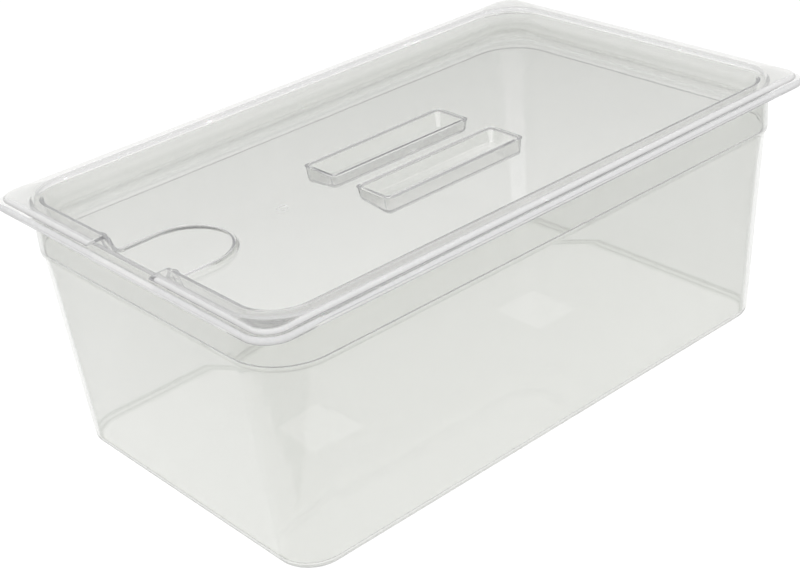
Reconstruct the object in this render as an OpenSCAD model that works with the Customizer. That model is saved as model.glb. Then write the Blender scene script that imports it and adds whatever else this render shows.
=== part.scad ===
// Full-size clear food pan, 200 deep, with a lift-off notched cover.
// Lengths are in millimetres. X runs along the pan, Y across it and Z up.
// The origin is at the middle of the pan's underside.
// An inset is a distance inwards from the outer edge of the pan's rim.

/* [Pan] */
// Length over the rim
pan_l = 530; // [480:1:600]
// Width over the rim
pan_w = 325; // [300:1:400]
// Height from the underside to the top of the rim
pan_h = 200; // [140:1:250]
// Thickness of the walls
wall_t = 2.8; // [2:0.1:3.5]
// Thickness of the floor
floor_t = 3; // [2:0.1:4]
// Lean of the side walls from vertical, in degrees
wall_lean = 4.2; // [2:0.1:6]
// Radius of the outer edge all round the underside
foot_r = 8; // [6:0.5:10]

/* [Floor squares] */
// Distance from the pan's middle to each shallow square in the floor
square_x = 117; // [100:1:130]
// Length of each square along the pan
square_l = 45; // [30:1:60]
// Width of each square across the pan
square_w = 50; // [30:1:60]
// Depth of each square
square_depth = 0.3; // [0.2:0.1:0.5]

/* [Rim and collar] */
// Thickness of the rim where the cover rests
rim_t = 3.6; // [3:0.1:4]
// Radius of the rim's corners, seen from above
rim_corner_r = 22; // [18:1:26]
// Width of the slope down to the rim's outer edge
rim_slope_w = 6.5; // [5:0.5:7]
// Height of that slope
rim_slope_h = 2.7; // [2:0.1:2.8]
// Inset of the collar's outer face
collar_inset = 12; // [11:0.5:13]
// Radius of the collar's corners, seen from above
collar_corner_r = 42; // [40:1:50]
// Distance from the rim's top down to the stacking ledge
ledge_drop = 37.4; // [30:0.1:45]
// Width of the stacking ledge
ledge_w = 2; // [1.5:0.1:2.5]

/* [Cover] */
// Thickness of the cover
cover_t = 2.8; // [2.4:0.1:3]
// Inset of the cover's outer edge
cover_inset = 5; // [4:0.5:6]
// Depth of the panel's top below the flange's top
tray_depth = 14.8; // [13:0.1:16]
// Inset at which the flat top of the flange ends
flange_inset = 19.1; // [18:0.1:20]
// Lean of the tray's wall from vertical, in degrees
tray_lean = 18; // [12:1:24]
// Radius of the tray's corners where the flange ends, seen from above
tray_corner_r = 31.4; // [30:0.1:34]

/* [Ladle notch] */
// Width of the notch
notch_w = 70; // [50:1:90]
// Inset of the edge that the notch leaves
notch_inset = 22; // [21:0.5:23]
// Length of the raised pad behind the notch
pad_l = 71; // [66:1:90]
// Height of the pad above the panel
pad_h = 3.8; // [3:0.1:5]

/* [Handle] */
// Length of each finger well
well_l = 131; // [100:1:150]
// Width of each finger well
well_w = 30.5; // [24:0.5:36]
// Depth of a well along its outer side
well_depth = 14; // [10:0.5:18]
// Depth of a well beside the grip bar
well_bar_depth = 10.5; // [8:0.5:14]
// Width of the grip bar between the wells
bar_w = 28; // [20:1:36]
// Diameter of the round gate mark in the middle of the bar
gate_d = 6; // [4:0.5:8]
// Height of the gate mark
gate_h = 0.4; // [0.2:0.1:1]
// Distance along the cover from the gate to the mould ring
ring_x = -124.6; // [-140:0.1:-100]
// Outer diameter of the mould ring
ring_d = 9; // [6:0.5:12]
// Width of the mould ring's wall
ring_t = 1.2; // [0.8:0.1:2]

/* [Hidden] */
$fn = 96;
steps = 6;
slack = 1;

// Pan levels and radii. Radii are taken from the collar's corner centres.
rim_under_z = pan_h - rim_t;
ledge_z = pan_h - ledge_drop;
body_c = collar_inset + collar_corner_r;
collar_r = collar_corner_r;
ledge_r = collar_r - ledge_w;
foot_run = foot_r * tan((90 - wall_lean) / 2);
foot_corner_r = ledge_r - ledge_z * tan(wall_lean);
hollow_r = foot_r - wall_t;
wall_run = wall_t / cos(wall_lean);
mouth_r = 2.5;
edge_round = 0.6;

// Cover levels and radii. Radii are taken from the tray's corner centres.
flange_z = pan_h + cover_t;
panel_z = flange_z - tray_depth;
tray_c = flange_inset + tray_corner_r;
bend_r = 3.1;
foot_bend_r = 5.4;
bends = bend_r + foot_bend_r;
lean_l = (tray_depth - bends * (1 - sin(tray_lean))) / cos(tray_lean);
panel_r = tray_corner_r - bends * cos(tray_lean) - lean_l * sin(tray_lean);
cover_slope_w = 7;
cover_slope_h = 1.9;
cover_corner_r = rim_corner_r - cover_inset;

// Notch and handle.
notch_x = -(pan_l / 2 - notch_inset);
pad_r = notch_w / 2;
pad_z = panel_z + pad_h;
well_y = bar_w / 2;
well_draft = 1;

// Points on an arc about [x, z], from angle a to angle b, with its end points.
function arc(x, z, r, a, b) =
    [for (i = [0:steps]) let (t = a + (b - a) * i / steps) [x + r * cos(t), z + r * sin(t)]];

// Points on a quarter ellipse that rises from [x + w, z - h] to [x, z].
function slope(x, z, w, h) =
    [for (i = [0:steps]) let (t = 90 * i / steps) [x + w * cos(t), z - h + h * sin(t)]];

// Sweeps a profile round a rounded rectangle with corner centres at an inset.
// The profile's X is the distance outwards from those centres, and its Y is height.
module sweep(inset) {
    cx = pan_l / 2 - inset;
    cy = pan_w / 2 - inset;
    for (turn = [0, 180]) {
        rotate([0, 0, turn]) translate([-cx, cy, 0]) rotate([90, 0, 90])
            linear_extrude(height = 2 * cx) children();
        rotate([0, 0, turn]) translate([cx, cy, 0]) rotate([90, 0, 0])
            linear_extrude(height = 2 * cy) children();
        rotate([0, 0, turn]) translate([cx, cy, 0]) rotate_extrude(angle = 90) children();
        rotate([0, 0, turn]) translate([-cx, cy, 0]) rotate([0, 0, 90])
            rotate_extrude(angle = 90) children();
    }
}

// A flat plate that fills the middle of a sweep.
module middle(inset, low, high) {
    cx = pan_l / 2 - inset;
    cy = pan_w / 2 - inset;
    translate([-cx, -cy, low]) cube([2 * cx, 2 * cy, high - low]);
}

// A rounded rectangle at an inset, as an upright prism.
module prism(inset, r, low, high) {
    cx = pan_l / 2 - inset - r;
    cy = pan_w / 2 - inset - r;
    translate([0, 0, low]) linear_extrude(height = high - low) union() {
        square([2 * (cx + r), 2 * cy], center = true);
        square([2 * cx, 2 * (cy + r)], center = true);
        for (x = [-cx, cx], y = [-cy, cy]) translate([x, y]) circle(r);
    }
}

// Outline of the pan's wall, from the floor's middle round to the rim and back.
module pan_profile() {
    lean = wall_lean;
    foot_x = foot_corner_r - foot_run;
    top_in = collar_r - wall_t;
    shelf_z = ledge_z + wall_t;
    in_top = ledge_r - wall_run + shelf_z * tan(lean) - ledge_z * tan(lean);
    polygon(concat(
        [[0, 0]],
        arc(foot_x, foot_r, foot_r, -90, -lean),
        [[ledge_r, ledge_z - edge_round], [collar_r - edge_round, ledge_z]],
        [[collar_r, ledge_z + edge_round], [collar_r, rim_under_z]],
        [[collar_r + 4, rim_under_z], [collar_r + 4, pan_h]],
        arc(top_in + mouth_r, pan_h - mouth_r, mouth_r, 90, 180),
        [[top_in, shelf_z + edge_round], [top_in - edge_round, shelf_z]],
        [[in_top, shelf_z - edge_round]],
        arc(foot_x, foot_r + floor_t - wall_t, hollow_r, -lean, -90),
        [[0, floor_t]]
    ));
}

// Outline of the rim's outer part, from its flat top to the outer edge.
module rim_profile() {
    r = rim_corner_r;
    polygon(concat(
        [[0, rim_under_z], [r - edge_round / 2, rim_under_z], [r, rim_under_z + edge_round / 2]],
        slope(r - rim_slope_w, pan_h, rim_slope_w, rim_slope_h),
        [[0, pan_h]]
    ));
}

// Outline of the cover's flange, which rests on the rim.
module flange_profile() {
    r = cover_corner_r;
    polygon(concat(
        [[0, pan_h], [r - 2.5, pan_h], [r, pan_h + edge_round]],
        slope(r - cover_slope_w, flange_z, cover_slope_w, cover_slope_h),
        [[0, flange_z]]
    ));
}

// Outline of the cover's bent wall, from the flange down to the panel.
module tray_profile() {
    half = cover_t / 2;
    top_z = flange_z - half - bend_r;
    low_z = panel_z - half + foot_bend_r;
    polygon(concat(
        [[tray_corner_r + 4, flange_z]],
        arc(tray_corner_r, top_z, bend_r + half, 90, 180 - tray_lean),
        arc(panel_r, low_z, foot_bend_r - half, -tray_lean, -90),
        [[0, panel_z], [0, panel_z - cover_t]],
        arc(panel_r, low_z, foot_bend_r + half, -90, -tray_lean),
        arc(tray_corner_r, top_z, bend_r - half, 180 - tray_lean, 90),
        [[tray_corner_r + 4, pan_h]]
    ));
}

// The pad's outline, drawn in by a margin, and run out past the notch's edge.
module pad_shape(margin, run_out) {
    r = pad_r - margin;
    end_x = notch_x + pad_l - pad_r;
    translate([end_x, 0]) circle(r);
    translate([notch_x - run_out, -r]) square([end_x - notch_x + run_out, 2 * r]);
}

// One finger well on the +Y side, grown by a margin on its sides and below.
module well(margin, top_z) {
    in_y = well_y - margin;
    out_y = well_y + well_w + margin;
    translate([-well_l / 2 - margin, 0, 0]) rotate([90, 0, 90])
        linear_extrude(height = well_l + 2 * margin)
            polygon([
                [in_y, top_z],
                [in_y + well_draft, panel_z - well_bar_depth - margin],
                [out_y - well_draft, panel_z - well_depth - margin],
                [out_y, top_z]
            ]);
}

// Both finger wells.
module wells(margin, top_z) {
    well(margin, top_z);
    mirror([0, 1, 0]) well(margin, top_z);
}

// The hollow of one square in the floor.
module floor_square(x) {
    translate([x - square_l / 2, -square_w / 2, floor_t - square_depth])
        cube([square_l, square_w, slack]);
}

// The food pan: floor with its two squares, leaning walls, stacking ledge, collar and rim.
module pan() {
    color([0.88, 0.89, 0.87, 0.45]) union() {
        sweep(body_c) pan_profile();
        difference() {
            middle(body_c, 0, floor_t);
            for (x = [-square_x, square_x]) floor_square(x);
        }
        difference() {
            union() {
                sweep(rim_corner_r) rim_profile();
                middle(rim_corner_r, rim_under_z, pan_h);
            }
            prism(collar_inset - 1, collar_r + 1, rim_under_z - slack, pan_h + slack);
        }
    }
}

// The cover before its notch, pad and handle are made.
module cover_blank() {
    sweep(tray_c) tray_profile();
    middle(tray_c, panel_z - cover_t, panel_z);
    difference() {
        union() {
            sweep(rim_corner_r) flange_profile();
            middle(rim_corner_r, pan_h, flange_z);
        }
        prism(flange_inset - 1, tray_corner_r + 1, pan_h - slack, flange_z + slack);
    }
}

// The gate mark on the grip bar, and a plain mould ring between it and the notch.
module marks() {
    sunk = cover_t / 2;
    translate([0, 0, panel_z - sunk]) cylinder(h = sunk + gate_h, d = gate_d);
    translate([ring_x, 0, panel_z - sunk]) difference() {
        cylinder(h = sunk + gate_h, d = ring_d);
        translate([0, 0, sunk]) cylinder(h = gate_h + slack, d = ring_d - 2 * ring_t);
    }
}

// The cover: flange, tray, ladle notch with its raised pad, and moulded-in handle.
module cover() {
    color([0.86, 0.87, 0.85, 0.45]) union() {
        marks();
        difference() {
            union() {
                cover_blank();
                translate([0, 0, panel_z - cover_t]) linear_extrude(height = cover_t + pad_h)
                    pad_shape(0, 0);
                wells(cover_t, panel_z - slack);
            }
            translate([-pan_l / 2 - slack, -pad_r, panel_z - 2 * tray_depth])
                cube([notch_inset + slack, notch_w, 4 * tray_depth]);
            translate([notch_x - slack, -pad_r, pad_z])
                cube([16, notch_w, tray_depth]);
            translate([0, 0, panel_z - 2 * cover_t]) linear_extrude(height = cover_t + pad_h)
                pad_shape(cover_t, slack);
            wells(0, panel_z + slack);
        }
    }
}

pan();
cover();
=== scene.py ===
import math

import bmesh
import bpy
from mathutils import Matrix, Quaternion, Vector, geometry


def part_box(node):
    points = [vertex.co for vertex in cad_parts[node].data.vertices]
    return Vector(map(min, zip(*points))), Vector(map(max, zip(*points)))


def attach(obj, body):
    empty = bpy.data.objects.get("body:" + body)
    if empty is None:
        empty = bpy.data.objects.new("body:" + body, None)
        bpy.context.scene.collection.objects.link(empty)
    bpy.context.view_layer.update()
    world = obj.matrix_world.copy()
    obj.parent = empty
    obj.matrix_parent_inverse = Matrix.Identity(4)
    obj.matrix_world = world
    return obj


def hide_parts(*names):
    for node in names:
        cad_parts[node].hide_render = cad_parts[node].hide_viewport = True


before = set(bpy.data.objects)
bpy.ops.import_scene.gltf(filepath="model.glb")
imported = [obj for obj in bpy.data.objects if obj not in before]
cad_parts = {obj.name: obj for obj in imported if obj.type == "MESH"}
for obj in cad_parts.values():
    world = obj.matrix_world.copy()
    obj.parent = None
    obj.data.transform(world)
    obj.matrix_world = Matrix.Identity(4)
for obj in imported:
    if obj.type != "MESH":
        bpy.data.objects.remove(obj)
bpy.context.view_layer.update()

# All shape values are in millimetres, and MM turns them into the frame's metres. Two values less than
# CLOSE apart count as equal.
# An inset is a distance inwards from the outer edge of the pan's rim.
# A corner centre is the inset at which the corners of a ring have their centres, so that a ring's
# radius there sets how far out the whole ring lies.
MM = 0.001
CLOSE = 0.001
PAN_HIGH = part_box("pan")[1]
COVER_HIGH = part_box("cover")[1]
HALF_L = PAN_HIGH.x / MM
HALF_W = PAN_HIGH.y / MM
PAN_H = PAN_HIGH.z / MM

# Pan: floor and leaning walls.
WALL_T = 2.8
FLOOR_T = 3.0
LEAN = math.radians(4.2)
FOOT_R = 8.0
BODY_CENTRE = 54.0

# Pan: stacking ledge and collar. The leaning wall ends at WALL_END inside and below the ledge.
COLLAR_R = 42.0
LEDGE_R = 40.0
LEDGE_Z = PAN_H - 37.4
LEDGE_ROUND = 1.1
WALL_END = (0.02, 0.3)
SHELF_DROP = 0.8
MOUTH_R = 2.5

# Pan: rim. Its top falls off outwards over RIM_SLOPE, as a width and a height.
RIM_T = 3.6
RIM_CENTRE = 22.0
RIM_EDGE_R = 0.5
RIM_SLOPE = (6.5, 2.7)
UNDER_RIM_ROUND = 1.0

# Pan: the two shallow squares in the floor.
PANEL_X = 117.0
PANEL_SIZE = (45.0, 50.0)
PANEL_ROUND = 3.0
PANEL_DEPTH = 0.3

# Cover: flange. COVER_GAP keeps its underside clear of the rim's top, which would coincide with it.
COVER_GAP = 0.25
COVER_T = COVER_HIGH.z / MM - PAN_H
FLANGE_Z = COVER_HIGH.z / MM
COVER_EDGE = 17.0
COVER_SLOPE = (7.0, 1.9)
COVER_UNDERCUT = (2.5, 0.6)

# Cover: the sunken tray.
TRAY_CENTRE = 50.5
TRAY_R = 31.4
TRAY_DEPTH = 14.8
TRAY_LEAN = 18.0
BEND_R = 3.1
FOOT_BEND_R = 5.4
TRAY_FLOOR = FLANGE_Z - TRAY_DEPTH

# Cover: ladle notch and the raised pad behind it. The cheeks are the slopes at the notch's two ends,
# and the ears are the low bumps beside them.
NOTCH_X = -(HALF_L - 22.0)
PAD_TOP = TRAY_FLOOR + 3.8
PAD_TIP = NOTCH_X + 71.0
CHEEK_TOP = 36.5
CHEEK_LOW = 29.0
PAD_EDGE = 34.2
PAD_SHIFT = 2.4
EAR_IN = 1.6
EAR_END = 47.0
CUT_ROUND = 0.35

# Cover: finger wells. Each pair is beside the grip bar first, then at the far side.
WELL_HALF_L = 65.5
WELL_Y = (14.0, 44.5)
WELL_W = WELL_Y[1] - WELL_Y[0]
WELL_MIDDLE = sum(WELL_Y) / 2
WELL_DEPTH = (10.5, 14.0)
WELL_CORNER = 3.0
LEAST_CORNER = 0.6
WELL_DRAFT = 1.0
WELL_MOUTH_R = 0.8
WELL_UNDER_R = 0.9
WELL_FOOT_R = 0.9

# Cover: raised marks, the moulding gate on the grip bar and a ring towards the notch.
MARK_H = 0.4
GATE_R = 3.0
GATE_PROFILE = ((GATE_R, 0.0), (GATE_R - 0.2, 0.7 * MARK_H), (GATE_R - 0.7, MARK_H))
RING_X = -124.6
RING_R = (4.5, 3.3)
RING_PROFILE = ((RING_R[0], 0.0), (RING_R[0] - 0.3, MARK_H), (RING_R[1] + 0.3, MARK_H), (RING_R[1], 0.0))

# Mesh fineness, as a number of steps along each stretch.
CORNER_STEPS = 16
SIDE_STEPS = (12, 8)
ARC_STEPS = 6
ROUND_STEPS = 4
EDGE_STEPS = 3
SLOPE_STEPS = 8
FOOT_STEPS = (10, 8)
WALL_STEPS = 10
MOUTH_STEPS = 7
TRAY_STEPS = (7, 8)
BEND_STEPS = (3, 4, 5)
END_STEPS = 3
EAR_STEPS = 7
CHEEK_STEPS = 9
CUT_STEPS = 6
PAD_STEPS = 40
PAD_SIDE_STEPS = 4
MARK_STEPS = 32

# How strongly the large faces set the shading, where 50 is the modifier's own default.
NORMAL_WEIGHT = 50

# Painted shade: how much each zone of the plastic darkens what is seen through it, from 0 to 1, which the
# meshes keep as a vertex attribute. The zones stand in for the shade and the dark and bright reflections
# that the room gives the clear plastic, and they stay fixed to the plastic whatever the light. A pair is
# for the sides at -X and -Y first, then for those at +X and +Y.
PAINTED_SHADE_ATTRIBUTE = "painted_shade"
# Painted shade on the walls, deeper on the sides at +X and +Y, with a painted dark reflection as a wedge
# down one corner and a painted highlight as a streak down the opposite one.
WALL_PAINTED_SHADE = (0.39, 0.46)
WEDGE_PAINTED_SHADE = 0.53
STREAK_PAINTED_SHADE = 0.25
# Light painted shade on the pan's floor. Its squares get none, so they show lighter.
FLOOR_PAINTED_SHADE = 0.19
# A painted dark band round the foot's bend.
FOOT_PAINTED_SHADE = 0.80
FOOT_START_PAINTED_SHADE = 0.7
PANEL_PAINTED_SHADE = 0.0
# Painted shade on the collar, deeper round two of its corners.
COLLAR_PAINTED_SHADE = 0.60
CORNER_PAINTED_SHADE = 0.75
# A painted dark line along the ledge on the sides at -X and -Y.
LEDGE_PAINTED_SHADE = (0.9, 0.1)
RIM_PAINTED_SHADE = 0.03
# Painted shade on the tray, deepening towards the corner at +X and +Y.
TRAY_PAINTED_SHADE = (0.12, 0.40)
# Painted dark lines round the pad's side and along the wells' edges at -X.
LINE_PAINTED_SHADE = 0.8
# Painted shade in the finger wells, with a painted highlight in their far corner.
WELL_PAINTED_SHADE = (0.0, 0.32)
WELL_CORNER_PAINTED_SHADE = 0.0
GATE_PAINTED_SHADE = 0.0

# Where the zones end: heights, the rim's inset, and the margins round them.
SLACK = 0.1
MARGIN = 1.0
WELL_MARGIN = 0.5
RIM_BAND = 11.3
FOOT_START = (0.02, 0.2)
FLOOR_BAND = (FLOOR_T - 1.0, FLOOR_T + 0.3)
PAD_SIDE = (TRAY_FLOOR + 0.3, PAD_TOP - 0.3)
TRAY_HIGH = PAD_TOP + 0.5
WELL_HIGH = TRAY_FLOOR - 0.2
WELL_ROUND = (TRAY_FLOOR - 1.0, TRAY_FLOOR - 0.01)

# How far the painted shade of two sides, and of a corner of the collar, takes to fade, in the units of
# across().
SIDE_FADE = 0.6
CORNER_FADE = 0.22

# The painted dark wedge and the painted highlight streak down two corners, in degrees round the corner. The
# wedge narrows downwards from the ledge, to nothing at WEDGE_FOOT.
WEDGE_FOOT = 60.0
WEDGE_TURN = 47.0
WEDGE_SPREAD = 25.0
STREAK_TURN = 45.0
STREAK_SPREAD = 12.0

# Polycarbonate. Light passes straight on once it has bounced more than MOST_BOUNCES times in all, or
# more than MOST_MIRRORED times as in a mirror.
IOR = 1.585
# The plastic's colour with no painted shade, then with the most painted shade.
CLEAREST = (0.995, 0.995, 0.99)
DEEPEST_PAINTED_SHADE = (0.55, 0.56, 0.53)
ROUGHNESS = (0.015, 0.045)
FLOW_SCALE = 14.0
FLOW_DETAIL = 2.0
FLOW_BUMP = 0.25
FLOW_HEIGHT = 0.0006
SHADOW_TINT = (0.992, 0.993, 0.99)
# Tints for light trapped in the sheets, with no painted shade and with the most.
TRAPPED_CLEAR = (0.975, 0.975, 0.98)
TRAPPED_PAINTED_SHADE = (0.45, 0.45, 0.46)
MOST_BOUNCES = 7.5
MOST_MIRRORED = 2.5
DEPTH_COLOUR = (0.86, 0.88, 0.78)
DEPTH_TINT = 4.0

# Studio, in metres, with the camera's roll in degrees.
FLOOR_HALF = 6.0
FLOOR_DROP = 0.0002
FLOOR_SHADE = (0.905, 0.915)
FLOOR_GRAIN = 3.0
FLOOR_ROUGHNESS = 0.9
ROOM_SHADE = (0.62, 0.85)
ROOM_FADE = (0.3, 0.65)
LAMP_HEIGHT = 5.0
LAMP_SIZE = 9.0
LAMP_POWER = 215.0
CAMERA_AT = Vector((-0.73166, -0.85518, 0.67588))
CAMERA_AIM = Vector((-0.04386, -0.02245, 0.1))
CAMERA_ROLL = -5.334
CAMERA_LENS = 74.59


def arc(x, z, r, start, end, steps=ARC_STEPS):
    """Points (x, z) on an arc about a centre, angles in degrees, end points included."""
    turns = [math.radians(start + (end - start) * i / steps) for i in range(steps + 1)]
    return [(x + r * math.cos(t), z + r * math.sin(t)) for t in turns]


def slope(x, z, width, height):
    """Points on a quarter ellipse that rises from (x + width, z - height) to (x, z)."""
    turns = [math.pi / 2 * i / SLOPE_STEPS for i in range(SLOPE_STEPS + 1)]
    return [(x + width * math.cos(t), z - height + height * math.sin(t)) for t in turns]


def smooth(t):
    """A share from 0 to 1 with an easy start and end."""
    t = min(1.0, max(0.0, t))
    return t * t * (3 - 2 * t)


def spread(start, end, steps):
    """Evenly spaced values from start up to, and not including, end."""
    return [start + (end - start) * i / steps for i in range(steps)]


def corner(x, y, r, start):
    """A quarter circle in plan, without its last point."""
    return arc(x, y, r, start, start + 90, CORNER_STEPS)[:-1]


def side_stops(half, notch):
    """Where a ring has points along the notch end, from +Y to -Y, apart from the last."""
    if not notch:
        return spread(half, -half, SIDE_STEPS[1])
    first = spread(half, EAR_END, END_STEPS) + spread(EAR_END, CHEEK_TOP, EAR_STEPS)
    first += spread(CHEEK_TOP, CHEEK_LOW, CHEEK_STEPS)
    middle = spread(CHEEK_LOW, -CHEEK_LOW, CUT_STEPS) + [-CHEEK_LOW]
    return first + middle + [-y for y in reversed(first)][:-1]


def outline(centre, r, z, notch=False):
    """A ring round a rounded rectangle whose corner centres are at an inset, anticlockwise."""
    cx = HALF_L - centre
    cy = HALF_W - centre
    pts = [(cx + r, y) for y in spread(-cy, cy, SIDE_STEPS[1])]
    pts += corner(cx, cy, r, 0)
    pts += [(x, cy + r) for x in spread(cx, -cx, SIDE_STEPS[0])]
    pts += corner(-cx, cy, r, 90)
    pts += [(-cx - r, y) for y in side_stops(cy, notch)]
    pts += corner(-cx, -cy, r, 180)
    pts += [(x, -cy - r) for x in spread(-cx, cx, SIDE_STEPS[0])]
    pts += corner(cx, -cy, r, 270)
    return [Vector((x, y, z)) for x, y in pts]


def rounded_box(x, y, half_x, half_y, r):
    """Plan points of a small rounded rectangle, anticlockwise."""
    pts = []
    for sx, sy, start in ((1, 1, 0), (-1, 1, 90), (-1, -1, 180), (1, -1, 270)):
        pts += arc(x + sx * (half_x - r), y + sy * (half_y - r), r, start, start + 90)
    return pts


class Skin:
    """A closed surface built from rings, bands between rings, and flat plates with holes."""

    def __init__(self):
        self.bm = bmesh.new()
        self.weight = self.bm.edges.layers.float.new("bevel_weight_edge")
        # A layer for each vertex's painted shade.
        self.painted_shade = self.bm.verts.layers.float.new(PAINTED_SHADE_ATTRIBUTE)

    def ring(self, pts):
        """New vertices at the points, still without a face."""
        return [self.bm.verts.new(p) for p in pts]

    def band(self, a, b, closed=True, skip=()):
        """Four-sided faces between two rings of equal length, apart from the columns to skip."""
        count = len(a)
        for i in range(count if closed else count - 1):
            if i in skip:
                continue
            j = (i + 1) % count
            self.bm.faces.new((a[i], a[j], b[j], b[i]))

    def bands(self, rings, closed=True):
        """Bands from each ring to the next."""
        for a, b in zip(rings, rings[1:]):
            self.band(a, b, closed)

    def plate(self, outer, *holes):
        """A flat stretch inside the outer loop and outside every hole."""
        loops = [outer, *holes]
        verts = [v for loop in loops for v in loop]
        for tri in geometry.tessellate_polygon([[v.co for v in loop] for loop in loops]):
            self.bm.faces.new([verts[i] for i in tri])

    def finish(self, name, material, painted_shade, sharp=()):
        """Makes the object. The function after the material gives each vertex its painted shade from its
        place, and sharp lists edges to bevel.
        """
        bmesh.ops.recalc_face_normals(self.bm, faces=self.bm.faces)
        for v in self.bm.verts:
            v[self.painted_shade] = painted_shade(v.co)
        for edge in sharp:
            edge[self.weight] = 1.0
        for f in self.bm.faces:
            f.smooth = True
        bmesh.ops.scale(self.bm, vec=(MM, MM, MM), verts=self.bm.verts)
        mesh = bpy.data.meshes.new(name)
        self.bm.to_mesh(mesh)
        self.bm.free()
        piece = bpy.data.objects.new(name, mesh)
        bpy.context.scene.collection.objects.link(piece)
        mesh.materials.append(material)
        return piece


# ---------------------------------------------------------------- painted shade by zone


def across(p):
    """Where a spot lies from the corner at -X and -Y, at -2, to the corner at +X and +Y, at 2."""
    return p.x / HALF_L + p.y / HALF_W


def by_side(p, ends):
    """The first end value on the two sides at -X and -Y, the second on the other two."""
    return ends[0] + (ends[1] - ends[0]) * smooth(0.5 + across(p) / SIDE_FADE)


def wall_painted_shade(p):
    """The walls' painted shade, with a painted dark reflection as a wedge down one corner and a painted
    highlight as a paler streak down the opposite one.
    """
    side = by_side(p, WALL_PAINTED_SHADE)
    turn = math.degrees(math.atan2(abs(p.y) - HALF_W + BODY_CENTRE, abs(p.x) - HALF_L + BODY_CENTRE))
    if across(p) < -1:
        share = (p.z - WEDGE_FOOT) / (LEDGE_Z - WEDGE_FOOT)
        return WEDGE_PAINTED_SHADE if abs(turn - WEDGE_TURN) < WEDGE_SPREAD * share else side
    if across(p) > 1 and abs(turn - STREAK_TURN) < STREAK_SPREAD:
        return STREAK_PAINTED_SHADE
    return side


def collar_painted_shade(p):
    """The collar's painted shade, deeper round the corners at -X, +Y and at +X, -Y."""
    return COLLAR_PAINTED_SHADE + (CORNER_PAINTED_SHADE - COLLAR_PAINTED_SHADE) * smooth(1 - abs(across(p)) / CORNER_FADE)


def bottom_painted_shade(p):
    """The painted shade of the foot's bend, a painted dark band that is paler where it starts and level
    with the floor, and of the floor and its squares."""
    if FOOT_START[0] < p.z < FOOT_START[1]:
        return FOOT_START_PAINTED_SHADE
    if FOOT_START[1] < p.z < FLOOR_BAND[0] or p.z > FLOOR_BAND[1]:
        return FOOT_PAINTED_SHADE
    over_panel = abs(abs(p.x) - PANEL_X) < PANEL_SIZE[0] / 2 and abs(p.y) < PANEL_SIZE[1] / 2
    sunk = FLOOR_BAND[0] < p.z < FLOOR_T - PANEL_DEPTH / 2
    return PANEL_PAINTED_SHADE if over_panel and sunk else FLOOR_PAINTED_SHADE


def pan_painted_shade(p):
    """How much painted shade a spot on the pan gets, darkening what is seen through it."""
    inset = min(HALF_L - abs(p.x), HALF_W - abs(p.y))
    if p.z > PAN_H - MARGIN or inset < RIM_BAND:
        return RIM_PAINTED_SHADE
    # The ledge gets a painted dark line on the sides at -X and -Y.
    if LEDGE_Z - SLACK < p.z < LEDGE_Z + LEDGE_ROUND + SLACK:
        return by_side(p, LEDGE_PAINTED_SHADE)
    if p.z > LEDGE_Z:
        return collar_painted_shade(p)
    if p.z > FOOT_R - MARGIN:
        return wall_painted_shade(p)
    return bottom_painted_shade(p)


def well_painted_shade(p):
    """The painted shade of a finger well's sides and floor, left out in the corner at +X and +Y as a
    painted highlight.
    """
    middle = math.copysign(WELL_MIDDLE, p.y)
    far_side = p.y > middle + WELL_W / 2 - WELL_CORNER
    far_end = p.x > WELL_HALF_L - WELL_CORNER
    if far_side and far_end:
        return WELL_CORNER_PAINTED_SHADE
    return WELL_PAINTED_SHADE[p.y > middle or far_end]


def cover_painted_shade(p):
    """How much painted shade a spot on the cover gets, darkening what is seen through it, with painted dark
    lines round the pad's side and along the wells' edges at -X, and the tray's least painted shade at that
    height beyond the wells."""
    y = abs(p.y)
    on_tip = PAD_TIP - CHEEK_TOP < p.x < PAD_TIP + MARGIN and y < CHEEK_TOP + MARGIN
    pad_under = abs(p.z - PAD_TOP + COVER_T) < SLACK
    if on_tip and PAD_SIDE[0] < p.z < PAD_SIDE[1] and not pad_under:
        return LINE_PAINTED_SHADE
    up_to_wells = p.x < MARGIN - WELL_HALF_L and y < WELL_Y[1] + MARGIN
    if up_to_wells and WELL_ROUND[0] < p.z < WELL_ROUND[1]:
        return LINE_PAINTED_SHADE if p.x > -WELL_HALF_L - MARGIN else TRAY_PAINTED_SHADE[0]
    if math.hypot(p.x, p.y) < GATE_R + SLACK and p.z > TRAY_FLOOR + SLACK:
        return GATE_PAINTED_SHADE
    in_well = abs(p.x) < WELL_HALF_L + WELL_MARGIN and -WELL_MARGIN < y - WELL_Y[0] < WELL_W + WELL_MARGIN
    if p.z < WELL_HIGH - COVER_T or (p.z < WELL_HIGH and in_well):
        return well_painted_shade(p)
    if p.z > TRAY_HIGH:
        return RIM_PAINTED_SHADE
    # The tray's painted shade deepens from the corner at -X and -Y towards the one at +X and +Y.
    return TRAY_PAINTED_SHADE[0] + (TRAY_PAINTED_SHADE[1] - TRAY_PAINTED_SHADE[0]) * (0.5 + across(p) / 2)


# ---------------------------------------------------------------- pan


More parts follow.
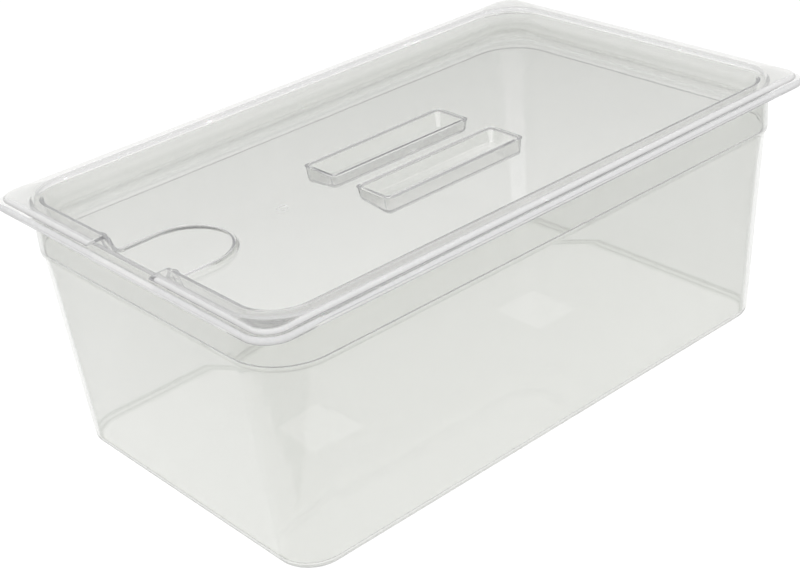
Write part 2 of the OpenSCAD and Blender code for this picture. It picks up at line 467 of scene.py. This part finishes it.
def pan_rings():
    """Rings of the pan as (corner centre, radius, z), from the underside round to the inner floor."""
    run = FOOT_R * math.tan((math.pi / 2 - LEAN) / 2)
    foot_x = LEDGE_R - LEDGE_Z * math.tan(LEAN) - run
    lean_deg = math.degrees(LEAN)
    round_r = LEDGE_ROUND
    under_r = UNDER_RIM_ROUND
    under_z = PAN_H - RIM_T
    shelf_z = LEDGE_Z + WALL_T
    collar_in = COLLAR_R - WALL_T
    wall_in = LEDGE_R - WALL_T / math.cos(LEAN) + WALL_T * math.tan(LEAN)
    hollow_r = FOOT_R - WALL_T

    foot = arc(foot_x, FOOT_R, FOOT_R, -90, -lean_deg, FOOT_STEPS[0])
    wall_top = (LEDGE_R - WALL_END[0], LEDGE_Z - round_r - WALL_END[1])
    wall = [spread(a, b, WALL_STEPS)[1:] for a, b in zip(foot[-1], wall_top)]
    body = foot + list(zip(*wall)) + [wall_top]
    body += arc(COLLAR_R - round_r, LEDGE_Z + round_r, round_r, -90, 0, ROUND_STEPS)
    body += [(COLLAR_R, LEDGE_Z + 2 * round_r)]
    body += arc(COLLAR_R + under_r, under_z - under_r, under_r, 180, 90, ROUND_STEPS)
    rim = arc(RIM_CENTRE - RIM_EDGE_R, under_z + RIM_EDGE_R, RIM_EDGE_R, -90, 0, EDGE_STEPS)
    rim += slope(RIM_CENTRE - RIM_SLOPE[0], PAN_H, *RIM_SLOPE)[1:]
    inside = arc(collar_in + MOUTH_R, PAN_H - MOUTH_R, MOUTH_R, 90, 180, MOUTH_STEPS)
    inside += arc(collar_in - round_r, shelf_z + round_r, round_r, 0, -90, ROUND_STEPS)
    inside += [(wall_in, shelf_z - SHELF_DROP)]
    inside += arc(foot_x, FLOOR_T + hollow_r, hollow_r, -lean_deg, -90, FOOT_STEPS[1])
    rings = [(BODY_CENTRE, r, z) for r, z in body]
    rings += [(RIM_CENTRE, r, z) for r, z in rim]
    rings += [(BODY_CENTRE, r, z) for r, z in inside]
    return rings


def floor_panel(skin, x):
    """A shallow square in the pan's floor. Returns its outer loop."""
    half_x, half_y = (size / 2 for size in PANEL_SIZE)
    top = rounded_box(x, 0, half_x, half_y, PANEL_ROUND)
    low = rounded_box(x, 0, half_x - PANEL_DEPTH, half_y - PANEL_DEPTH, PANEL_ROUND - PANEL_DEPTH)
    outer = skin.ring([(*p, FLOOR_T) for p in top])
    inner = skin.ring([(*p, FLOOR_T - PANEL_DEPTH) for p in low])
    skin.band(outer, inner)
    skin.bm.faces.new(inner)
    return outer


def make_pan(clear):
    """The pan, in one skin from its underside over the rim to its inner floor."""
    skin = Skin()
    rings = [skin.ring(outline(*r)) for r in pan_rings()]
    skin.bands(rings)
    skin.bm.faces.new(rings[0])
    panels = [floor_panel(skin, x) for x in (-PANEL_X, PANEL_X)]
    skin.plate(rings[-1], *panels)
    return skin.finish("clear_pan", clear, pan_painted_shade)


# ---------------------------------------------------------------- cover


def cover_rings():
    """Rings of the cover as (corner centre, radius, z), in three lists: from the tray floor's top up to
    the notch's cut, from there over the outer edge and back under, and on down to the underside."""
    half_t = COVER_T / 2
    bends = BEND_R + FOOT_BEND_R
    lean = math.radians(TRAY_LEAN)
    wall_len = (TRAY_DEPTH - bends * (1 - math.sin(lean))) / math.cos(lean)
    floor_r = TRAY_R - bends * math.cos(lean) - wall_len * math.sin(lean)
    top_z = FLANGE_Z - half_t - BEND_R
    low_z = TRAY_FLOOR - half_t + FOOT_BEND_R
    cut_r = TRAY_CENTRE - (HALF_L + NOTCH_X)
    cut_turn = math.degrees(math.acos((cut_r - TRAY_R) / (BEND_R + half_t)))
    under_x = TRAY_R + (BEND_R - half_t) * math.cos(math.pi - lean)
    under_z = top_z + (BEND_R - half_t) * math.sin(math.pi - lean)
    cut_z = under_z - (under_x - cut_r) / math.tan(lean)

    over_in = arc(floor_r, low_z, FOOT_BEND_R - half_t, -90, -TRAY_LEAN, TRAY_STEPS[0])
    over_in += arc(TRAY_R, top_z, BEND_R + half_t, 180 - TRAY_LEAN, cut_turn, BEND_STEPS[0])
    over_out = arc(TRAY_R, top_z, BEND_R + half_t, cut_turn, 90, BEND_STEPS[1])[1:]
    edge = slope(COVER_EDGE - COVER_SLOPE[0], FLANGE_Z, *COVER_SLOPE)[::-1]
    edge += [(COVER_EDGE, PAN_H + COVER_UNDERCUT[1])]
    edge += [(COVER_EDGE - COVER_UNDERCUT[0], PAN_H + COVER_GAP)]
    under_out = arc(TRAY_R, top_z - COVER_GAP, BEND_R - half_t, 90, 180 - TRAY_LEAN, BEND_STEPS[2])
    lift = 2 * COVER_GAP / (PAN_H - under_z)
    under_out = [(r, z + lift * (z - under_z)) for r, z in under_out]
    under_in = [(cut_r, cut_z)]
    under_in += arc(floor_r, low_z, FOOT_BEND_R + half_t, -TRAY_LEAN, -90, TRAY_STEPS[1])
    inner = [(TRAY_CENTRE, r, z) for r, z in over_in]
    outer = [(TRAY_CENTRE, r, z) for r, z in over_out]
    outer += [(RIM_CENTRE, r, z) for r, z in edge]
    outer += [(TRAY_CENTRE, r, z) for r, z in under_out]
    under = [(TRAY_CENTRE, r, z) for r, z in under_in]
    return inner, outer, under


def cheek_y(t, depth):
    """Distance from the middle at a share t of the cheek, where depth is 0 at the cut and 1 at the foot."""
    low = CHEEK_LOW + (PAD_EDGE - CHEEK_LOW) * depth
    return CHEEK_TOP + (low - CHEEK_TOP) * t


def notch_spot(p, foot_x, plate_z, shift):
    """Where a ring's point moves to, so that the rings make the ears, the cheeks and the pad's plate."""
    y = abs(p.y)
    if p.x > -HALF_L / 2 or y >= EAR_END:
        return p
    depth = min(1.0, max(0.0, (p.x - NOTCH_X) / (foot_x - NOTCH_X)))
    if y >= CHEEK_TOP:
        bump = math.sin(math.pi * (EAR_END - y) / (EAR_END - CHEEK_TOP)) ** 2
        return Vector((p.x + EAR_IN * bump * (1 - depth), p.y, p.z))
    if y >= CHEEK_LOW:
        t = (CHEEK_TOP - y) / (CHEEK_TOP - CHEEK_LOW)
        new_y = math.copysign(cheek_y(t, depth) - shift * depth, p.y)
        return Vector((p.x, new_y, p.z + (plate_z - p.z) * smooth(t)))
    inner = (cheek_y(1.0, depth) - shift * depth) / CHEEK_LOW
    return Vector((p.x, p.y * inner, plate_z))


def notch_ring(skin, ring, foot_x, plate_z, shift):
    """A ring between the notch's cut and the tray's foot, bent to the notch."""
    return skin.ring([notch_spot(p, foot_x, plate_z, shift) for p in outline(*ring, notch=True)])


def pad_loop(start):
    """Points round the pad at the level of its start on +Y, as far as the start's twin on -Y."""
    x0, r, z = start
    x1 = PAD_TIP - (CHEEK_TOP + PAD_EDGE) / 2
    pts = [(x, r, z) for x in spread(x0, x1, PAD_SIDE_STEPS)[1:]]
    pts += [(x, y, z) for x, y in arc(x1, 0, r, 90, -90, PAD_STEPS)]
    pts += [(x, -r, z) for x in spread(x1, x0, PAD_SIDE_STEPS)[1:]]
    return pts


def add_pad(skin, foot, high, low):
    """The pad's side as bands between its levels, and its plate. Returns its foot loop."""
    loops = []
    for k in range(CHEEK_STEPS + 1):
        start = foot[high + k]
        loops.append([start, *skin.ring(pad_loop(start.co)), foot[low - k]])
    skin.bands(loops, closed=False)
    end = [foot[i] for i in range(low - CHEEK_STEPS - 1, high + CHEEK_STEPS, -1)]
    skin.bm.faces.new(loops[-1] + end)
    return loops[0]


def well_floor(y, extra):
    """Height of a well's floor at a distance from the middle, lowered by extra."""
    t = (abs(y) - WELL_Y[0]) / WELL_W
    return TRAY_FLOOR - (WELL_DEPTH[0] + (WELL_DEPTH[1] - WELL_DEPTH[0]) * t) - extra


def well_plan(side, offset):
    """Plan points of one finger well, made larger all round by offset."""
    r = max(LEAST_CORNER, WELL_CORNER + offset)
    return rounded_box(0, side * WELL_MIDDLE, WELL_HALF_L + offset, WELL_W / 2 + offset, r)


def add_well(skin, side, grow, mouth_r):
    """One finger well as nested loops, from its mouth down to its floor. Returns the mouth loop.
    grow is 0 for the top skin and the sheet's thickness for the underside."""
    foot_r = WELL_FOOT_R + grow
    turns = [math.pi / 2 * i / ROUND_STEPS for i in range(ROUND_STEPS + 1)]
    rings = []
    for t in turns:
        z = TRAY_FLOOR - grow - mouth_r * (1 - math.cos(t))
        plan = well_plan(side, mouth_r * (1 - math.sin(t)) + grow)
        rings.append(skin.ring([(x, y, z) for x, y in plan]))
    for t in turns:
        rise = foot_r * (1 - math.sin(t))
        plan = well_plan(side, grow - WELL_DRAFT - foot_r * (1 - math.cos(t)))
        rings.append(skin.ring([(x, y, well_floor(y, grow) + rise) for x, y in plan]))
    skin.bands(rings)
    skin.bm.faces.new(rings[-1])
    return rings[0]


def add_mark(skin, x, profile):
    """A small round mark on the tray's floor, from (radius, height) pairs. Returns the outer loop."""
    rings = []
    for r, height in profile:
        plan = arc(x, 0, r, 0, 360, MARK_STEPS)[:-1]
        rings.append(skin.ring([(*p, TRAY_FLOOR + height) for p in plan]))
    skin.bands(rings)
    skin.bm.faces.new(rings[-1])
    return rings[0]


def add_floor(skin, foot, high, low, holes):
    """The tray's flat floor, with the pad at the notch end and holes for what stands on it."""
    pad = add_pad(skin, foot, high, low)
    skin.plate(foot[low + 1:] + foot[:high] + pad, *holes)


def make_cover(clear):
    """The cover, in one skin over its top, round its edge and the notch's cut, and back under."""
    skin = Skin()
    inner, outer, under = cover_rings()
    foot_x = -(HALF_L - TRAY_CENTRE + inner[0][1])
    tops = [notch_ring(skin, ring, foot_x, PAD_TOP, 0.0) for ring in inner]
    edges = [skin.ring(outline(*ring, notch=True)) for ring in outer]
    lows = [notch_ring(skin, ring, foot_x, PAD_TOP - COVER_T, PAD_SHIFT) for ring in under]

    # The columns of points at which the cut through the flange starts and ends.
    plan = outline(*inner[0], notch=True)
    ends = [i for i, p in enumerate(plan) if p.x < 0 and abs(abs(p.y) - CHEEK_TOP) < CLOSE]
    high, low = ends
    cut = range(high, low)
    loop = [tops[-1], *edges, lows[0]]

    skin.bands(tops)
    skin.bands(lows)
    for a, b in zip(loop, loop[1:]):
        skin.band(a, b, skip=cut)
    for i in cut:
        skin.bm.faces.new((tops[-1][i], tops[-1][i + 1], lows[0][i + 1], lows[0][i]))
    for i in ends:
        skin.bm.faces.new([ring[i] for ring in loop])

    marks = [add_mark(skin, 0, GATE_PROFILE), add_mark(skin, RING_X, RING_PROFILE)]
    wells = [add_well(skin, side, 0.0, WELL_MOUTH_R) for side in (1, -1)]
    add_floor(skin, tops[0], high, low, marks + wells)
    low_wells = [add_well(skin, side, COVER_T, WELL_UNDER_R) for side in (1, -1)]
    add_floor(skin, lows[-1], high, low, low_wells)

    sharp = [skin.bm.edges.get((r[i], r[i + 1])) for r in (tops[-1], lows[0]) for i in cut]
    sharp += [skin.bm.edges.get((a[i], b[i])) for i in ends for a, b in zip(loop, loop[1:])]
    return skin.finish("clear_cover", clear, cover_painted_shade, sharp)


# ---------------------------------------------------------------- materials


def maths(tree, operation, first, second):
    """A maths node on two values or outputs. Returns its output."""
    made = tree.nodes.new("ShaderNodeMath")
    made.operation = operation
    for socket, value in zip(made.inputs, (first, second)):
        if isinstance(value, float):
            socket.default_value = value
        else:
            tree.links.new(value, socket)
    return made.outputs["Value"]


def mixed(tree, first, second, share):
    """A node that mixes two colours, each fixed or an output, by an output. Returns its output."""
    made = tree.nodes.new("ShaderNodeMixRGB")
    for name, colour in (("Color1", first), ("Color2", second)):
        if isinstance(colour, tuple):
            made.inputs[name].default_value = (*colour, 1.0)
        else:
            tree.links.new(colour, made.inputs[name])
    tree.links.new(share, made.inputs["Fac"])
    return made.outputs["Color"]


def ranged(tree, value, ends, source=(0.0, 1.0)):
    """A node that maps an output from its source range onto a pair of values. Returns its output."""
    made = tree.nodes.new("ShaderNodeMapRange")
    for name, number in zip(("From Min", "From Max", "To Min", "To Max"), (*source, *ends)):
        made.inputs[name].default_value = number
    tree.links.new(value, made.inputs["Value"])
    return made.outputs["Result"]


def plastic_shader(tree, painted_shade):
    """The Principled shader of the plastic, with a faint flow pattern and its colour darkened by the
    painted shade. Returns its output.
    """
    link = tree.links.new
    body = tree.nodes.new("ShaderNodeBsdfPrincipled")
    body.inputs["IOR"].default_value = IOR
    body.inputs["Transmission Weight"].default_value = 1.0
    where = tree.nodes.new("ShaderNodeTexCoord")
    flow = tree.nodes.new("ShaderNodeTexNoise")
    flow.inputs["Scale"].default_value = FLOW_SCALE
    flow.inputs["Detail"].default_value = FLOW_DETAIL
    link(where.outputs["Object"], flow.inputs["Vector"])
    link(ranged(tree, flow.outputs["Fac"], ROUGHNESS), body.inputs["Roughness"])
    link(mixed(tree, CLEAREST, DEEPEST_PAINTED_SHADE, painted_shade), body.inputs["Base Color"])
    bump = tree.nodes.new("ShaderNodeBump")
    bump.inputs["Strength"].default_value = FLOW_BUMP
    bump.inputs["Distance"].default_value = FLOW_HEIGHT
    link(flow.outputs["Fac"], bump.inputs["Height"])
    link(bump.outputs["Normal"], body.inputs["Normal"])
    return body.outputs["BSDF"]


def polycarbonate(name):
    """Clear polycarbonate with light shadows, a slight tint in depth, and painted shade from the vertex
    attribute in its colour. Shadow rays, rays that come from the matt floor, and rays that stay trapped in
    the sheets, pass straight through, the trapped ones darkened by the same painted shade."""
    m = bpy.data.materials.new(name)
    m.use_nodes = True
    tree = m.node_tree
    tree.nodes.clear()
    link = tree.links.new
    out = tree.nodes.new("ShaderNodeOutputMaterial")
    zone = tree.nodes.new("ShaderNodeAttribute")
    zone.attribute_name = PAINTED_SHADE_ATTRIBUTE
    painted_shade = zone.outputs["Fac"]

    light = tree.nodes.new("ShaderNodeLightPath")
    bounced = maths(tree, "GREATER_THAN", light.outputs["Ray Depth"], MOST_BOUNCES)
    mirrored = maths(tree, "GREATER_THAN", light.outputs["Glossy Depth"], MOST_MIRRORED)
    trapped = maths(tree, "MAXIMUM", bounced, mirrored)
    from_floor = maths(tree, "MAXIMUM", light.outputs["Is Shadow Ray"], light.outputs["Diffuse Depth"])
    clear = tree.nodes.new("ShaderNodeBsdfTransparent")
    trapped_tint = mixed(tree, TRAPPED_CLEAR, TRAPPED_PAINTED_SHADE, painted_shade)
    link(mixed(tree, SHADOW_TINT, trapped_tint, trapped), clear.inputs["Color"])

    mix = tree.nodes.new("ShaderNodeMixShader")
    link(maths(tree, "MAXIMUM", from_floor, trapped), mix.inputs["Fac"])
    link(plastic_shader(tree, painted_shade), mix.inputs[1])
    link(clear.outputs["BSDF"], mix.inputs[2])
    link(mix.outputs["Shader"], out.inputs["Surface"])
    depth = tree.nodes.new("ShaderNodeVolumeAbsorption")
    depth.inputs["Color"].default_value = (*DEPTH_COLOUR, 1.0)
    depth.inputs["Density"].default_value = DEPTH_TINT
    link(depth.outputs["Volume"], out.inputs["Volume"])
    return m


def floor_material():
    """A matt pale floor with a very faint grain."""
    m = bpy.data.materials.new("pale_floor")
    m.use_nodes = True
    tree = m.node_tree
    body = tree.nodes["Principled BSDF"]
    body.inputs["Roughness"].default_value = FLOOR_ROUGHNESS
    body.inputs["Specular IOR Level"].default_value = 0.0
    grain = tree.nodes.new("ShaderNodeTexNoise")
    grain.inputs["Scale"].default_value = FLOOR_GRAIN
    tree.links.new(ranged(tree, grain.outputs["Fac"], FLOOR_SHADE), body.inputs["Base Color"])
    return m


# ---------------------------------------------------------------- the studio


def studio_floor():
    """A large flat square just under the object."""
    signs = ((-1, -1), (1, -1), (1, 1), (-1, 1))
    corners = [(x * FLOOR_HALF, y * FLOOR_HALF, -FLOOR_DROP) for x, y in signs]
    mesh = bpy.data.meshes.new("floor")
    mesh.from_pydata(corners, [], [(0, 1, 2, 3)])
    mesh.materials.append(floor_material())
    floor = bpy.data.objects.new("floor", mesh)
    bpy.context.scene.collection.objects.link(floor)
    return floor


def studio_room():
    """A plain world that is darker round the sides than overhead."""
    world = bpy.data.worlds.new("studio")
    bpy.context.scene.world = world
    world.use_nodes = True
    tree = world.node_tree
    where = tree.nodes.new("ShaderNodeTexCoord")
    split = tree.nodes.new("ShaderNodeSeparateXYZ")
    tree.links.new(where.outputs["Generated"], split.inputs["Vector"])
    shade = ranged(tree, split.outputs["Z"], ROOM_SHADE, ROOM_FADE)
    tree.links.new(shade, tree.nodes["Background"].inputs["Color"])


def overhead_light():
    """A large soft light above the object, facing down. It is left out of mirror reflections, because
    it would add to the room's own light there."""
    data = bpy.data.lights.new("overhead", "AREA")
    data.shape = "SQUARE"
    data.size = LAMP_SIZE
    data.energy = LAMP_POWER
    data.cycles.use_multiple_importance_sampling = False
    lamp = bpy.data.objects.new("overhead", data)
    lamp.location = (0.0, 0.0, LAMP_HEIGHT)
    bpy.context.scene.collection.objects.link(lamp)


def add_camera():
    """The camera, aimed at a point and turned a little about its own axis."""
    data = bpy.data.cameras.new("camera")
    data.lens = CAMERA_LENS
    camera = bpy.data.objects.new("camera", data)
    level = (CAMERA_AIM - CAMERA_AT).to_track_quat("-Z", "Y")
    turn = level @ Quaternion((0.0, 0.0, 1.0), math.radians(CAMERA_ROLL))
    camera.matrix_world = Matrix.Translation(CAMERA_AT) @ turn.to_matrix().to_4x4()
    bpy.context.scene.collection.objects.link(camera)
    bpy.context.scene.camera = camera


def even_normals(piece):
    """Makes the shading follow the large flat faces."""
    normals = piece.modifiers.new("normals", "WEIGHTED_NORMAL")
    normals.mode = "FACE_AREA"
    normals.weight = NORMAL_WEIGHT


# ---------------------------------------------------------------- the object

clear = polycarbonate("clear_polycarbonate")

pan = make_pan(clear)
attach(pan, "pan")
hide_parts("pan")

cover = make_cover(clear)
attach(cover, "cover")
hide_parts("cover")

bevel = cover.modifiers.new("cut_edges", "BEVEL")
bevel.width = CUT_ROUND * MM
bevel.segments = 2
bevel.limit_method = "WEIGHT"
even_normals(pan)
even_normals(cover)

floor = studio_floor()
studio_room()
overhead_light()
add_camera()
bpy.context.scene.view_settings.view_transform = "Standard"
